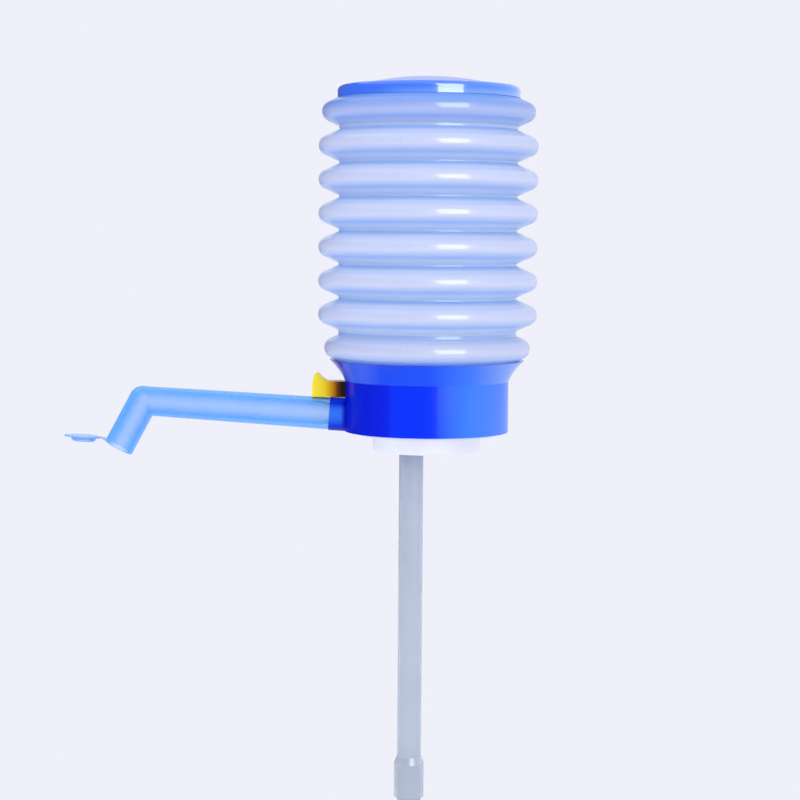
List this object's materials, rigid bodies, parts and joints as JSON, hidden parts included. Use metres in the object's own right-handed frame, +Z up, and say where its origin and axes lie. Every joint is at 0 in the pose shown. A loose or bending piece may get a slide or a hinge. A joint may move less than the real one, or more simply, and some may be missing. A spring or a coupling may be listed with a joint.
{
  "type": "water jug hand pump",
  "caption": "Hand pump for a water jug: bellows with a press cap, flared housing, bent spout with tethered lid, release key, neck stopper and jointed dip tube.",
  "frame": {"origin": "centre of the stopper flange's underside, the seat that rests on the jug's lip, on the pump's axis", "axes": "+Z up along the pump's axis, -X along the spout, Y across it"},
  "size_m": [0.1932, 0.0896, 0.6003],
  "materials": {
    "bellows_plastic": "blow-moulded, translucent, satin gloss",
    "cap_plastic": "gloss, slightly translucent",
    "dome_plastic": "gloss",
    "housing_plastic": "gloss, slightly translucent",
    "plate_plastic": "satin",
    "elbow_plastic": "satin",
    "spout_plastic": "translucent, gloss",
    "lid_plastic": "translucent, gloss",
    "key_plastic": "gloss",
    "pin_plastic": "satin",
    "tube_plastic": "extruded, translucent",
    "foot_plastic": "moulded, translucent",
    "stopper_rubber": "satin silicone",
    "flap_rubber": "matt",
    "seal_rubber": "matt",
    "spring_steel": "drawn wire"
  },
  "bodies": {
    "base": {"housing": "housing_plastic", "valve_plate": "plate_plastic", "discharge_pin": "pin_plastic", "base_plate": "plate_plastic", "neck_stopper": "stopper_rubber", "water_elbow": "elbow_plastic", "elbow_seal": "seal_rubber", "bellows": "bellows_plastic", "release_spring": "spring_steel", "dip_tube_upper": "tube_plastic", "dip_tube_middle": "tube_plastic", "dip_tube_lower": "tube_plastic", "inlet_foot": "foot_plastic"},
    "cap": {"top_cap": "cap_plastic", "cap_dome": "dome_plastic", "intake_pin": "pin_plastic"},
    "intake_valve": {"intake_flap": "flap_rubber"},
    "discharge_valve": {"discharge_flap": "flap_rubber"},
    "spout": {"spout": "spout_plastic", "spout_seal": "seal_rubber"},
    "lid": {"spout_lid": "lid_plastic", "lid_strap": "lid_plastic"},
    "key": {"release_key": "key_plastic", "release_stem": "pin_plastic", "release_seal": "seal_rubber"}
  },
  "joints": [
    {"name": "cap_press", "type": "slide", "parent": "base", "child": "cap", "axis": [0, 0, -1], "range_m": [0, 0.06], "stiffness_N_per_m": 600, "springref_m": -0.002, "deforming": ["bellows"]},
    {"name": "intake_valve_lift", "type": "slide", "parent": "cap", "child": "intake_valve", "axis": [0, 0, -1], "range_m": [0, 0.001], "stiffness_N_per_m": 60, "springref_m": -0.0005},
    {"name": "discharge_valve_lift", "type": "slide", "parent": "base", "child": "discharge_valve", "axis": [0, 0, -1], "range_m": [0, 0.001], "stiffness_N_per_m": 60, "springref_m": -0.0005},
    {"name": "key_push", "type": "slide", "parent": "base", "child": "key", "axis": [1, 0, 0], "range_m": [0, 0.005], "stiffness_N_per_m": 400, "springref_m": -0.002, "deforming": ["release_spring"]},
    {"name": "spout_swivel", "type": "hinge", "parent": "base", "child": "spout", "pos_m": [-0.03985, 0, 0.0083], "axis": [-0.998, 0, 0.0628], "range_deg": [-90, 90]},
    {"name": "lid_hinge", "type": "hinge", "parent": "spout", "child": "lid", "pos_m": [-0.13303, 0, -0.00267], "axis": [0, -1, 0], "range_deg": [0, 155.4]}
  ]
}
